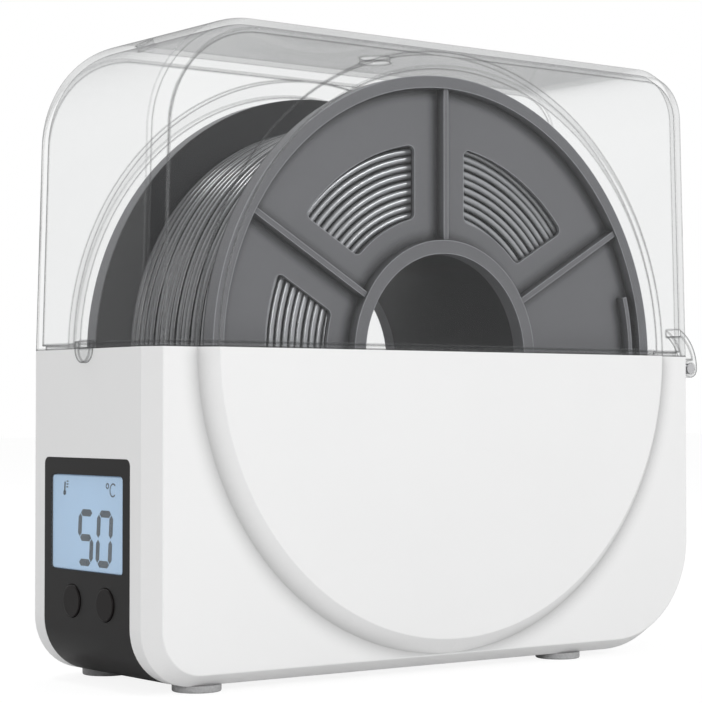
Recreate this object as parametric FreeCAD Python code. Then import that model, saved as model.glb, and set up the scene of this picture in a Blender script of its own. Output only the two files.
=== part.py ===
"""Filament dryer box: a white heated base, a clear hinged lid and the spool that turns inside.

X runs from the display end to the hinge end, the near side faces -Y, Z is up.
The origin is the bottom centre of the whole part, on the surface that the feet stand on.
"""
import FreeCAD, Part
import math
import os
from FreeCAD import Vector

# Spool
spool_radius = 102.5
spool_width = 84.0
spool_bore_radius = 37.5
hub_wall = 3.0
flange_web = 2.0
flange_recess = 4.5
rim_width = 4.4
hub_ring_width = 5.0
rib_count = 6
rib_thickness = 2.2
rib_drop = 0.6
window_inner_radius = 51.5
window_outer_radius = 78.0
window_rib_distance = 11.7
window_corner = 2.5
blank_sector = 0
clip_half_angle = 15.0
clip_wall = 1.8
clip_slot = 2.6
clip_slot_half_angle = 11.0

# Wound filament
filament_diameter = 2.85
winding_pitch = 3.3
wound_radius = 90.0
winding_clearance = 0.25
winding_side_gap = 1.0

# Case
body_width = 86.0
front_room = 17.5
rear_room = 17.5
bulge_room = 7.0
bulge_height = 5.5
bulge_slope = 5.7
bulge_edge_margin = 0.5
bulge_round = 0.8
edge_chamfer = 4.3
edge_chamfer_depth = 7.2
edge_round = 0.8
corner_large = 42.0
corner_small = 20.0
base_wall = 2.4
lid_wall = 2.2
lid_rim_wall = 3.4
lid_rim_height = 1.8
lid_draft = 1.6
spool_drop = 1.5

# Feet
foot_height = 2.4
foot_radius = 8.5
foot_round = 0.6
foot_front_inset = 26.0
foot_rear_inset = 62.0
foot_side_inset = 13.0

# Hinge and latch
hinge_offset = 5.7
hinge_drop = 4.5
hinge_pin_radius = 2.0
hinge_pin_clearance = 0.15
lug_clearance = 0.05
lug_radius = 4.0
lug_width = 5.0
lug_brace = 7.0
claw_radius = 3.6
claw_width = 8.0
claw_strap = 2.2
claw_rise = 11.0
claw_mouth = 3.0
claw_side_inset = 7.0
claw_gap = 0.4
tab_radius = 5.0
tab_thickness = 1.6
tab_gap = 0.3
tab_height = 2.6
tab_lift = 0.5

# Filament outlets in the lid
outlet_top_radius = 6.0
outlet_top_forward = 3.0
outlet_top_side = 5.0
outlet_front_radius = 3.25
outlet_front_angle = 60.0

# Chamber floor and heater
trough_gap = 3.3
trough_wall = 1.4
trough_clearance = 0.3
deck_drop = 10.0
ledge_depth = 5.0
ledge_height = 3.0
ledge_side_inset = 12.0
heater_half_angle = 24.0
heater_half_width = 30.0
heater_plate_thickness = 1.0
heating_film_thickness = 0.3
heating_film_gap = 0.15
heating_film_margin = 4.0

# Rollers
roller_radius = 8.5
roller_width = 5.5
roller_end_gap = 0.6
roller_angle = 35.0
roller_contact_gap = 0.3
roller_edge = 0.8
roller_slot_gap = 1.3
axle_radius = 2.5
axle_overhang = 0.2
bushing_wall = 1.5
bushing_clearance = 0.05
cradle_wall = 4.0
cradle_post_radius = 6.0
cradle_plate = 3.0
cradle_gap = 2.0
cradle_screw_spacing = 30.0

# Front panel and controls
panel_width = 57.6
panel_top_rise = 76.4
panel_thickness = 1.8
panel_corner = 2.5
panel_gap = 0.15
panel_under = 16.5
panel_ledge = 2.5
lcd_width = 48.4
lcd_height = 33.2
lcd_top_rise = 70.6
lcd_corner = 1.5
lcd_gap = 0.1
lcd_margin = 1.8
lcd_glass = 2.8
backlight_thickness = 3.0
backlight_inset = 1.0
board_thickness = 1.6
board_margin = 1.2
post_radius = 2.5
post_spacing = 46.0
post_low_drop = 4.0
post_high_rise = 5.3
button_radius = 5.65
button_spacing = 22.4
button_pair_shift = -2.0
button_rise = 26.8
button_proud = 0.6
button_clearance = 0.25
button_flange = 1.1
button_flange_gap = 0.4
button_flange_thickness = 0.8
button_stem_radius = 2.0
button_stem = 0.4
button_travel = 0.6
button_round = 0.45
switch_gap = 0.1
switch_side = 6.2
switch_body = 2.7
switch_plunger_radius = 1.75

# Power inlet and probe
jack_rise = 60.0
jack_radius = 4.0
jack_clearance = 0.1
jack_flange_radius = 6.0
jack_flange = 1.5
jack_length = 14.0
jack_bore_radius = 3.1
jack_bore_depth = 9.5
jack_pin_radius = 1.05
jack_pin_recess = 1.0
nut_radius = 6.4
nut_thickness = 2.2
probe_radius = 2.5
probe_length = 12.0
probe_proud = 4.0
probe_flange_radius = 4.5
probe_flange = 1.2
probe_side = -14.0
probe_clearance = 0.1

# Leads
power_lead_radius = 1.3
power_lead_fall = 26.0
power_lead_side = 16.0
power_lead_rise = 8.0
heater_lead_radius = 1.2
heater_lead_angle = 18.0
heater_lead_side = -6.0
heater_lead_rise = 4.0
sensor_lead_radius = 0.9
sensor_lead_drop = 36.0
sensor_lead_bow = 14.0
lead_exit = 7.0
lead_front_turn = 27.0
lead_lift = 0.3
lead_clearance = 0.2
lead_bend_reach = 10.0

# Screws
screw_radius = 1.5
screw_clearance = 0.3
thread_clearance = 0.05
screw_head_radius = 2.8
screw_head = 2.0
head_clearance = 0.3
head_recess = 0.8
boss_wall = 2.7
boss_along = 40.0
boss_side_inset = 15.0
boss_height = 5.8
base_screw_length = 9.5
board_screw_radius = 1.1
board_screw_head_radius = 2.2
board_screw_head = 1.5
board_screw_length = 5.0

# Places that follow from the sizes above
bulge_radius = spool_radius + bulge_room
body_length = 2 * bulge_radius + front_room + rear_room
case_depth = bulge_radius + bulge_edge_margin + edge_chamfer
hinge_reach = hinge_offset + claw_radius
tab_reach = tab_gap + tab_thickness
front_x = (tab_reach - hinge_reach - body_length) / 2
rear_x = front_x + body_length
bulge_x = front_x + front_room + bulge_radius
half_width = body_width / 2
base_z = foot_height
part_z = base_z + case_depth
top_z = part_z + case_depth
floor_z = base_z + base_wall
spool_z = part_z - spool_drop
lid_lean = math.tan(math.radians(lid_draft))
hinge_x = rear_x + hinge_offset
hinge_z = part_z - hinge_drop
claw_outer_y = half_width - claw_side_inset
claw_inner_y = claw_outer_y - claw_width
lug_outer_y = claw_inner_y - claw_gap
lug_inner_y = lug_outer_y - lug_width
trough_radius = spool_radius + trough_gap
trough_outer_radius = trough_radius + trough_wall
deck_z = part_z - deck_drop
roller_orbit = spool_radius + roller_contact_gap + roller_radius
roller_reach = roller_orbit * math.sin(math.radians(roller_angle))
roller_z = spool_z - roller_orbit * math.cos(math.radians(roller_angle))
roller_outer_y = half_width - base_wall - roller_end_gap
roller_inner_y = roller_outer_y - roller_width
cradle_outer_y = roller_inner_y - cradle_gap
cradle_inner_y = cradle_outer_y - cradle_wall
bushing_radius = axle_radius + bushing_clearance + bushing_wall
panel_top_z = base_z + panel_top_rise
lcd_top_z = base_z + lcd_top_rise
lcd_low_z = lcd_top_z - lcd_height
button_z = base_z + button_rise
panel_back_x = front_x + panel_thickness
glass_back_x = panel_back_x + lcd_glass
board_x = glass_back_x + backlight_thickness
board_back_x = board_x + board_thickness
board_low_z = button_z - post_low_drop - post_radius - board_margin
board_top_z = lcd_top_z + lcd_margin + board_margin
board_half_width = post_spacing / 2 + post_radius + board_margin
jack_z = base_z + jack_rise
jack_back_x = rear_x + jack_flange - jack_length
probe_x = front_x + front_room - base_wall
boss_top_z = floor_z + boss_height
boss_side = half_width - boss_side_inset
hub_radius = spool_bore_radius + hub_wall
flange_inner_y = spool_width / 2 - flange_recess - flange_web
web_outer_y = flange_inner_y + flange_web
turn_radius = wound_radius - filament_diameter / 2
core_radius = turn_radius - filament_diameter / 2 - winding_clearance
far_reach = 2 * body_length

LENGTHWISE = Vector(1, 0, 0)
ACROSS = Vector(0, 1, 0)
UP = Vector(0, 0, 1)
SIDES = (("near", -1), ("far", 1))
BUTTONS = (("left", 1), ("right", -1))


def box(x, y, z):
    """Box between three pairs of limits, each given in either order."""
    low = Vector(min(x), min(y), min(z))
    return Part.makeBox(abs(x[1] - x[0]), abs(y[1] - y[0]), abs(z[1] - z[0]), low)


def rod(start, direction, radius, length):
    """Cylinder from a start point along a direction."""
    return Part.makeCylinder(radius, length, start, direction)


def ring(inner_radius, outer_radius, y):
    """Ring about the spool's axis between two limits in Y."""
    start = Vector(bulge_x, min(y), spool_z)
    length = abs(y[1] - y[0])
    return rod(start, ACROSS, outer_radius, length).cut(rod(start, ACROSS, inner_radius, length))


def rounded_outline(corners):
    """Closed wire in the XZ plane through (x, z, corner radius) points."""
    points = [Vector(x, 0, z) for x, z, radius in corners]
    ends, edges = [], []
    for i, corner in enumerate(points):
        before = (points[i - 1] - corner).normalize()
        after = (points[(i + 1) % len(points)] - corner).normalize()
        half_turn = before.getAngle(after) / 2
        radius = corners[i][2]
        reach = radius / math.tan(half_turn)
        ends.append((corner + before * reach, corner + after * reach))
        if radius:
            centre = corner + (before + after).normalize() * (radius / math.sin(half_turn))
            middle = centre + (corner - centre).normalize() * radius
            edges.append(Part.Arc(ends[i][0], middle, ends[i][1]).toShape())
    for i in range(len(points)):
        start, stop = ends[i][1], ends[(i + 1) % len(points)][0]
        if start.distanceToPoint(stop) > 1e-6:
            edges.append(Part.LineSegment(start, stop).toShape())
    return Part.Wire(Part.__sortEdges__(edges))


def slab(corners, y):
    """Outline in XZ carried between two limits in Y."""
    face = Part.Face(rounded_outline(corners))
    face.translate(ACROSS * min(y))
    return face.extrude(ACROSS * abs(y[1] - y[0]))


def plate(corners, x):
    """Rounded rectangle or other outline in YZ, as (y, z, radius), carried between two limits in X."""
    solid = slab(corners, (-max(x), -min(x)))
    solid.rotate(Vector(0, 0, 0), UP, 90)
    return solid


def rectangle(middle_y, width, low_z, high_z, radius):
    """Corners of a rounded rectangle in YZ."""
    left, right = middle_y - width / 2, middle_y + width / 2
    return [(left, low_z, radius), (right, low_z, radius), (right, high_z, radius), (left, high_z, radius)]


def edges_across(shape, y_values):
    """Edges that lie flat in one of the planes y = value."""
    found = []
    for edge in shape.Edges:
        bounds = edge.BoundBox
        if bounds.YLength < 1e-6 and any(abs(bounds.YMin - y) < 1e-6 for y in y_values):
            found.append(edge)
    return found


def base_corners(inset):
    """Side outline of the base, moved inwards, left open above the parting plane."""
    front, rear, low = front_x + inset, rear_x - inset, base_z + inset
    high = part_z + edge_chamfer
    return [(front, high, 0), (front, low, corner_small - inset),
            (rear, low, corner_large - inset), (rear, high, 0)]


def lid_corners(inset):
    """Side outline of the lid, moved inwards, carried on below the parting plane."""
    shift = inset / math.cos(math.radians(lid_draft))
    high = top_z - inset
    low = part_z - edge_chamfer
    front, rear = front_x + shift, rear_x - shift
    lean_low, lean_high = (low - part_z) * lid_lean, (high - part_z) * lid_lean
    return [(front + lean_low, low, 0), (front + lean_high, high, corner_large - inset),
            (rear - lean_high, high, corner_small - inset), (rear - lean_low, low, 0)]


def case_block(corners, inset):
    """Half of the case as a solid, with a flat chamfer round both side outlines, as thick all over."""
    half = half_width - inset
    both = 1 / edge_chamfer + 1 / edge_chamfer_depth
    share = 1 - inset * (both - math.hypot(1 / edge_chamfer, 1 / edge_chamfer_depth))
    leg, depth = edge_chamfer * share, edge_chamfer_depth * share
    block = slab(corners(inset), (depth - half, half - depth))
    ends = []
    for name, side in SIDES:
        foot, brow = rounded_outline(corners(inset)), rounded_outline(corners(inset + leg))
        foot.translate(ACROSS * side * (half - depth))
        brow.translate(ACROSS * side * half)
        ends.append(Part.makeLoft([foot, brow], True, True))
    block = block.fuse(ends).removeSplitter()
    if inset == 0:
        block = block.makeFillet(edge_round, edges_across(block, (-half, half, depth - half, half - depth)))
    return block


def bulge(inset, side):
    """Round bulge on one side, a flat cone whose foot lies on the side wall."""
    wall_angle = math.atan(bulge_slope / bulge_height)
    foot_radius_here = bulge_radius - inset * math.tan(math.pi / 4 - wall_angle / 2)
    foot = Vector(bulge_x, side * (half_width - inset), part_z)
    cone = Part.makeCone(foot_radius_here, foot_radius_here - bulge_slope, bulge_height, foot, ACROSS * side)
    if inset == 0:
        cone = cone.makeFillet(bulge_round, edges_across(cone, (side * (half_width + bulge_height),)))
    return cone


def case_solid(corners, inset):
    """Half of the case with both bulges, still reaching past the parting plane."""
    return case_block(corners, inset).fuse([bulge(inset, side) for name, side in SIDES])


def beyond(low_z, high_z):
    """Everything between two heights."""
    return box((-far_reach, far_reach), (-far_reach, far_reach), (low_z, high_z))


def panel_band(grow):
    """Layer of the base's outside that the front panel fills, wrapping under the front edge."""
    layer = case_block(base_corners, 0).cut(case_block(base_corners, panel_thickness))
    outline = rectangle(0, panel_width + 2 * grow, -panel_top_z, panel_top_z + grow, panel_corner)
    return layer.common(plate(outline, (front_x - panel_thickness, front_x + panel_under + grow)))


def boss_places():
    """Middles of the four screw bosses under the chamber floor."""
    return [(bulge_x + along * boss_along, side * boss_side) for along in (-1, 1) for name, side in SIDES]


def make_base_shell():
    """White tub: outer form, hollow, panel recess, ledges, bosses, hinge lugs and inlet hole."""
    shell = case_solid(base_corners, 0).common(beyond(-far_reach, part_z))
    shell = shell.cut(case_solid(base_corners, base_wall))
    front_in, rear_in = front_x + base_wall, rear_x - base_wall
    ledge_y = (ledge_side_inset - half_width, half_width - ledge_side_inset)
    ledge_z = (deck_z - trough_wall - ledge_height, deck_z - trough_wall)
    middle_wall = base_wall / 2
    added = [box((front_in - middle_wall, front_in + ledge_depth), ledge_y, ledge_z),
             box((rear_in - ledge_depth, rear_in + middle_wall), ledge_y, ledge_z)]
    for x, y in boss_places():
        added.append(rod(Vector(x, y, floor_z - middle_wall), UP,
                         screw_radius + screw_clearance + boss_wall, boss_height + middle_wall))
    for name, side in SIDES:
        lug_y = (side * lug_inner_y, side * lug_outer_y)
        root_x = rear_x - middle_wall
        added.append(slab([(root_x, hinge_z + lug_radius, 0), (hinge_x, hinge_z + lug_radius, 0),
                           (hinge_x, hinge_z - lug_radius, 0),
                           (root_x, hinge_z - lug_radius - lug_brace, 0)], lug_y))
        added.append(rod(Vector(hinge_x, min(lug_y), hinge_z), ACROSS, lug_radius, lug_width))
    shell = shell.fuse(added)
    window_half = panel_width / 2 - panel_ledge
    holes = [panel_band(panel_gap),
             box((front_x, front_in), (-window_half, window_half),
                 (base_z + corner_small, panel_top_z - panel_ledge)),
             rod(Vector(rear_in - base_wall, 0, jack_z), LENGTHWISE, jack_radius + jack_clearance,
                 3 * base_wall)]
    for x, y in boss_places():
        holes.append(rod(Vector(x, y, base_z), UP, screw_radius + screw_clearance, base_wall + boss_height))
        holes.append(rod(Vector(x, y, base_z), UP, screw_head_radius + head_clearance,
                         screw_head + head_recess))
    for name, side in SIDES:
        start = Vector(hinge_x, -far_reach, hinge_z)
        holes.append(rod(start, ACROSS, hinge_pin_radius + lug_clearance, 2 * far_reach))
    return shell.cut(holes)


def make_chamber_trough():
    """Curved chamber floor about the spool, with a deck at each end, roller slots and screw bosses."""
    front, rear = front_x, rear_x
    under_z = deck_z - trough_wall
    inner_reach = math.sqrt(trough_radius ** 2 - (deck_z - spool_z) ** 2)
    outer_reach = math.sqrt(trough_outer_radius ** 2 - (under_z - spool_z) ** 2)

    def arc(radius, reach, z):
        ends = Vector(bulge_x - reach, 0, z), Vector(bulge_x + reach, 0, z)
        return Part.Arc(ends[0], Vector(bulge_x, 0, spool_z - radius), ends[1]).toShape()

    def line(x0, z0, x1, z1):
        return Part.LineSegment(Vector(x0, 0, z0), Vector(x1, 0, z1)).toShape()

    edges = [line(front, deck_z, bulge_x - inner_reach, deck_z),
             arc(trough_radius, inner_reach, deck_z),
             line(bulge_x + inner_reach, deck_z, rear, deck_z),
             line(rear, deck_z, rear, under_z),
             line(rear, under_z, bulge_x + outer_reach, under_z),
             arc(trough_outer_radius, outer_reach, under_z),
             line(bulge_x - outer_reach, under_z, front, under_z),
             line(front, under_z, front, deck_z)]
    face = Part.Face(Part.Wire(Part.__sortEdges__(edges)))
    face.translate(ACROSS * -half_width)
    trough = face.extrude(ACROSS * body_width)
    bosses = [rod(Vector(x, y, boss_top_z), UP, screw_radius + boss_wall, trough_outer_radius)
              for x, y in boss_places()]
    inside = rod(Vector(bulge_x, -half_width, spool_z), ACROSS, trough_radius, body_width)
    trough = trough.fuse([boss.cut(inside).common(beyond(boss_top_z, part_z - case_depth / 2))
                          for boss in bosses])
    trough = trough.common(case_block(base_corners, base_wall + trough_clearance))
    lead_start, lead_way = heater_lead_start()
    holes = [rod(Vector(probe_x, probe_side, under_z), UP, probe_radius + probe_clearance, 2 * trough_wall),
             rod(lead_start, lead_way, heater_lead_radius + lead_clearance, 2 * trough_wall)]
    for x, y in boss_places():
        tip_z = base_z + screw_head + head_recess + base_screw_length
        holes.append(rod(Vector(x, y, boss_top_z), UP, screw_radius + thread_clearance, tip_z - boss_top_z))
    slot_y = cradle_inner_y - cradle_gap
    for along in (-1, 1):
        for name, side in SIDES:
            start = Vector(bulge_x + along * roller_reach, min(side * slot_y, side * half_width), roller_z)
            holes.append(rod(start, ACROSS, roller_radius + roller_slot_gap, half_width - slot_y))
    return trough.cut(holes)


def curved_sheet(outer_radius, thickness, half_angle, width):
    """Strip of a tube about the spool's axis, centred under the spool."""
    strip = ring(outer_radius - thickness, outer_radius, (-width, width))
    turn = math.radians(half_angle)
    reach = far_reach * math.tan(turn)
    wedge = slab([(bulge_x, spool_z, 0), (bulge_x - reach, spool_z - far_reach, 0),
                  (bulge_x + reach, spool_z - far_reach, 0)], (-width, width))
    return strip.common(wedge)


def make_heater_plate():
    """Bent aluminium plate that spreads the heat under the spool."""
    seat = trough_radius - heating_film_thickness - 2 * heating_film_gap
    return curved_sheet(seat, heater_plate_thickness, heater_half_angle, heater_half_width)


def make_heating_film():
    """Film heater between the plate and the chamber floor."""
    margin_angle = math.degrees(heating_film_margin / trough_radius)
    return curved_sheet(trough_radius - heating_film_gap, heating_film_thickness,
                        heater_half_angle - margin_angle, heater_half_width - heating_film_margin)


def make_foot(x, y):
    """Round rubber foot under the base."""
    foot = rod(Vector(x, y, 0), UP, foot_radius, foot_height)
    lower = [edge for edge in foot.Edges if edge.BoundBox.ZMax < foot_height / 2]
    return foot.makeFillet(foot_round, lower)


def make_hinge_pin(side):
    """Steel pin held by the lug, on which the lid's claw turns."""
    inner, outer = side * lug_inner_y, side * claw_outer_y
    return rod(Vector(hinge_x, min(inner, outer), hinge_z), ACROSS, hinge_pin_radius, abs(outer - inner))


def make_claw(side):
    """Hooked strap from the lid's rear wall, round the back of the hinge pin."""
    rise, reach = claw_rise + hinge_drop, hinge_reach
    sweep = (reach ** 2 + rise ** 2) / (2 * reach)
    claw_y = (side * claw_inner_y, side * claw_outer_y)
    axis = Vector(hinge_x, min(claw_y), hinge_z)
    middle = axis + LENGTHWISE * (claw_radius - sweep)
    strap = rod(middle, ACROSS, sweep, claw_width).cut(rod(middle, ACROSS, sweep - claw_strap, claw_width))
    root_x = rear_x - lid_wall / 2 - claw_rise * lid_lean
    strap = strap.common(box((root_x, hinge_x + far_reach), claw_y, (hinge_z, top_z)))
    eye = rod(axis, ACROSS, claw_radius, claw_width)
    mouth = box((hinge_x - 2 * claw_radius, hinge_x), claw_y,
                (hinge_z - claw_mouth / 2, hinge_z + claw_mouth / 2))
    hole = rod(axis, ACROSS, hinge_pin_radius + hinge_pin_clearance, claw_width)
    return strap.fuse(eye).cut([mouth, hole])


def make_latch_tab():
    """Half-round tab that hangs in front of the base's rim, rooted on the lid's front wall."""
    outer_x = front_x - tab_reach
    tab = rod(Vector(outer_x, 0, part_z), LENGTHWISE, tab_radius, tab_thickness)
    tab = tab.common(beyond(part_z - tab_radius, part_z))
    face = box((outer_x, front_x - tab_gap), (-tab_radius, tab_radius), (part_z, part_z + tab_height))
    root = box((outer_x, front_x + lid_wall / 2), (-tab_radius, tab_radius),
               (part_z + tab_lift, part_z + tab_height))
    return tab.fuse([face, root])


def make_lid_shell():
    """Clear lid: thin shell with a thicker rim, hinge claws, latch tab and filament outlets."""
    rim_z = part_z + lid_rim_height
    shell = case_solid(lid_corners, 0).common(beyond(part_z, far_reach))
    shell = shell.cut(case_solid(lid_corners, lid_wall).common(beyond(rim_z, far_reach)))
    shell = shell.cut(case_solid(lid_corners, lid_rim_wall).common(beyond(-far_reach, rim_z)))
    shell = shell.fuse([make_claw(side) for name, side in SIDES] + [make_latch_tab()])
    corner_x = front_x + corner_large / math.cos(math.radians(lid_draft))
    corner_x += (case_depth - corner_large) * lid_lean
    turn = math.radians(outlet_front_angle)
    outward = Vector(-math.cos(turn), 0, math.sin(turn))
    corner = Vector(corner_x, 0, top_z - corner_large)
    front_outlet = rod(corner + outward * (corner_large - 2 * lid_wall), outward, outlet_front_radius,
                       4 * lid_wall)
    top_outlet = rod(Vector(bulge_x + outlet_top_forward, outlet_top_side, top_z - 2 * lid_wall), UP,
                     outlet_top_radius, 4 * lid_wall)
    return shell.cut([front_outlet, top_outlet])


def sector_prism(angle, apex_distance, spread, y):
    """Wedge between two directions about the spool's axis, with its point moved outwards."""
    def place(turn, distance):
        return distance * math.cos(math.radians(turn)), distance * math.sin(math.radians(turn))

    x, z = place(angle, apex_distance)
    points = [(bulge_x + x, spool_z + z, 0)]
    for turn in (angle - spread, angle + spread):
        dx, dz = place(turn, far_reach)
        points.append((bulge_x + x + dx, spool_z + z + dz, 0))
    return slab(points, y)


def make_window(angle, y):
    """Opening between two ribs, its straight sides parallel to them, with rounded corners."""
    half_pitch = 180.0 / rib_count
    apex = window_rib_distance / math.sin(math.radians(half_pitch))
    window = ring(window_inner_radius, window_outer_radius, y)
    window = window.common(sector_prism(angle, apex, half_pitch, y))
    uprights = [edge for edge in window.Edges if abs(edge.BoundBox.YLength - abs(y[1] - y[0])) < 1e-6
                and edge.BoundBox.DiagonalLength - edge.BoundBox.YLength < 1e-6]
    return window.makeFillet(window_corner, uprights)


def make_spool_half():
    """Near half of the spool: half the hub, and a flange with rim, hub ring, ribs, windows and clip."""
    outer_y = -spool_width / 2
    web_y, inner_y = -web_outer_y, -flange_inner_y
    rim_inner = spool_radius - rim_width
    half = ring(spool_bore_radius, hub_radius, (outer_y, 0))
    half = half.fuse([ring(spool_bore_radius, spool_radius, (web_y, inner_y)),
                      ring(rim_inner, spool_radius, (outer_y, inner_y)),
                      ring(spool_bore_radius, spool_bore_radius + hub_ring_width, (outer_y, inner_y))])
    ribs = []
    for i in range(rib_count):
        rib = box((bulge_x + hub_radius, bulge_x + rim_inner + rim_width / 2),
                  (outer_y + rib_drop, inner_y), (spool_z - rib_thickness / 2, spool_z + rib_thickness / 2))
        rib.rotate(Vector(bulge_x, 0, spool_z), ACROSS, -(i + 0.5) * 360.0 / rib_count)
        ribs.append(rib)
    slot_outer = rim_inner - clip_wall / 2
    clip = ring(slot_outer - clip_slot - clip_wall, slot_outer - clip_slot, (outer_y + rib_drop, inner_y))
    clip = clip.common(sector_prism(0, 0, clip_half_angle, (outer_y, inner_y)))
    half = half.fuse(ribs + [clip])
    slot = ring(slot_outer - clip_slot, slot_outer, (outer_y, inner_y))
    cuts = [slot.common(sector_prism(0, 0, clip_slot_half_angle, (outer_y, inner_y)))]
    for i in range(rib_count):
        if i != blank_sector:
            cuts.append(make_window(i * 360.0 / rib_count, (web_y - 1, inner_y + 1)))
    return half.cut(cuts)


def make_filament_core():
    """Inner layers of filament, wound solid on the hub."""
    return ring(hub_radius + winding_clearance, core_radius,
                (winding_clearance - flange_inner_y, flange_inner_y - winding_clearance))


def helix_point(turn, first_y):
    """Point and direction on the outer layer's helix, after a number of turns."""
    angle = 2 * math.pi * turn
    point = Vector(bulge_x + turn_radius * math.cos(angle), first_y + winding_pitch * turn,
                   spool_z + turn_radius * math.sin(angle))
    heading = Vector(-turn_radius * math.sin(angle), winding_pitch / (2 * math.pi),
                     turn_radius * math.cos(angle))
    return point, heading.normalize()


def arc_from(start, heading, stop):
    """Arc that leaves start along heading and ends at stop."""
    chord = stop - start
    sideways = (chord - heading * chord.dot(heading)).normalize()
    radius = chord.dot(chord) / (2 * chord.dot(sideways))
    centre = start + sideways * radius
    middle = centre + ((start + stop) * 0.5 - centre).normalize() * radius
    return Part.Arc(start, middle, stop).toShape()


def biarc(start, start_heading, stop, stop_heading):
    """Two arcs that join two points and keep both directions."""
    chord, both = stop - start, start_heading + stop_heading
    spread = 2 * (1 - start_heading.dot(stop_heading))
    along = chord.dot(both)
    reach = (math.sqrt(along ** 2 + spread * chord.dot(chord)) - along) / spread
    joint = (start + stop + (start_heading - stop_heading) * reach) * 0.5
    second = arc_from(stop, stop_heading * -1, joint)
    return [arc_from(start, start_heading, joint), second]


def make_filament_winding():
    """Outer layer: one unbroken strand, wound side by side over the core."""
    room = 2 * (flange_inner_y - winding_side_gap) - filament_diameter
    quarters = 4 * int(room / winding_pitch)
    first_y = -winding_pitch * quarters / 8
    nodes = [helix_point(i / 4, first_y) for i in range(quarters + 1)]
    (first, first_heading), (last, last_heading) = nodes[0], nodes[-1]
    tail = first - first_heading * filament_diameter
    edges = [Part.LineSegment(tail, first).toShape()]
    for (start, heading), (stop, next_heading) in zip(nodes, nodes[1:]):
        edges += biarc(start, heading, stop, next_heading)
    edges.append(Part.LineSegment(last, last + last_heading * filament_diameter).toShape())
    section = Part.Wire(Part.Circle(tail, first_heading, filament_diameter / 2).toShape())
    path = Part.Wire(Part.__sortEdges__(edges))
    strand = path.makePipeShell([section], True, False)
    steps = 48
    sampled = [helix_point(i / steps, first_y)[0] for i in range(quarters * steps // 4 + 1)]
    least = min(a.distanceToPoint(b) for shift in (-2, 0, 2)
                for a, b in zip(sampled, sampled[steps + shift:])) - filament_diameter
    print("filament_winding: turns", quarters // 4, "least gap to itself", round(least, 3),
          "volume over section times length",
          round(strand.Volume / (math.pi * filament_diameter ** 2 / 4 * path.Length), 4))
    return strand


def make_roller(along, side):
    """Nylon roller on one end of an axle, with broken edges."""
    inner, outer = side * roller_inner_y, side * roller_outer_y
    start = Vector(bulge_x + along * roller_reach, min(inner, outer), roller_z)
    roller = rod(start, ACROSS, roller_radius, roller_width)
    roller = roller.makeChamfer(roller_edge, edges_across(roller, (inner, outer)))
    return roller.cut(rod(start, ACROSS, axle_radius, roller_width))


def make_roller_axle(along):
    """Steel axle that carries a near and a far roller."""
    reach = roller_outer_y + axle_overhang
    return rod(Vector(bulge_x + along * roller_reach, -reach, roller_z), ACROSS, axle_radius, 2 * reach)


def make_roller_cradle(along):
    """Bracket on the floor of the base with two posts for the bushes of one axle."""
    x = bulge_x + along * roller_reach
    plate_z = (floor_z, floor_z + cradle_plate)
    width = (x - cradle_post_radius, x + cradle_post_radius)
    cradle = box(width, (-cradle_outer_y, cradle_outer_y), plate_z)
    cuts = []
    for name, side in SIDES:
        post_y = (side * cradle_inner_y, side * cradle_outer_y)
        start = Vector(x, min(post_y), roller_z)
        cradle = cradle.fuse([box(width, post_y, (floor_z, roller_z)),
                              rod(start, ACROSS, cradle_post_radius, cradle_wall)])
        cuts.append(rod(start, ACROSS, bushing_radius, cradle_wall))
        cuts.append(rod(Vector(x, side * cradle_screw_spacing / 2, floor_z), UP,
                        screw_radius + thread_clearance, cradle_plate))
    return cradle.cut(cuts)


def make_roller_bushings():
    """Four plain bushes, pressed into the cradle posts."""
    bushes = []
    for along in (-1, 1):
        for name, side in SIDES:
            post_y = (side * cradle_inner_y, side * cradle_outer_y)
            start = Vector(bulge_x + along * roller_reach, min(post_y), roller_z)
            bush = rod(start, ACROSS, bushing_radius, cradle_wall)
            bushes.append(bush.cut(rod(start, ACROSS, axle_radius + bushing_clearance, cradle_wall)))
    return Part.makeCompound(bushes)


def post_places():
    """Middles in YZ of the four posts that carry the control board."""
    return [(side * post_spacing / 2, z) for name, side in SIDES
            for z in (button_z - post_low_drop, button_z + post_high_rise)]


def button_y(side):
    """Middle of one button across the panel."""
    return button_pair_shift + side * button_spacing / 2


def make_front_panel():
    """Black panel: J-shaped plate with a display window, two key holes and posts for the board."""
    panel = panel_band(0)
    posts = [rod(Vector(panel_back_x - panel_thickness / 2, y, z), LENGTHWISE, post_radius,
                 board_x - panel_back_x + panel_thickness / 2) for y, z in post_places()]
    panel = panel.fuse(posts)
    reach = (front_x - panel_thickness, panel_back_x)
    cuts = [plate(rectangle(0, lcd_width, lcd_low_z, lcd_top_z, lcd_corner), reach)]
    for name, side in BUTTONS:
        cuts.append(rod(Vector(reach[0], button_y(side), button_z), LENGTHWISE,
                        button_radius + button_clearance, 2 * panel_thickness))
    for y, z in post_places():
        depth = board_screw_length - board_thickness
        cuts.append(rod(Vector(board_x - depth, y, z), LENGTHWISE, board_screw_radius + thread_clearance,
                        depth))
    return panel.cut(cuts)


def make_lcd_window():
    """Clear lens, flush in the panel's window."""
    corners = rectangle(0, lcd_width - 2 * lcd_gap, lcd_low_z + lcd_gap, lcd_top_z - lcd_gap, lcd_corner)
    return plate(corners, (front_x, panel_back_x))


def make_lcd_display():
    """Liquid crystal glass, against the back of the lens and the panel."""
    corners = rectangle(0, lcd_width + 2 * lcd_margin, lcd_low_z - lcd_margin, lcd_top_z + lcd_margin,
                        lcd_corner)
    return plate(corners, (panel_back_x, glass_back_x))


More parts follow.
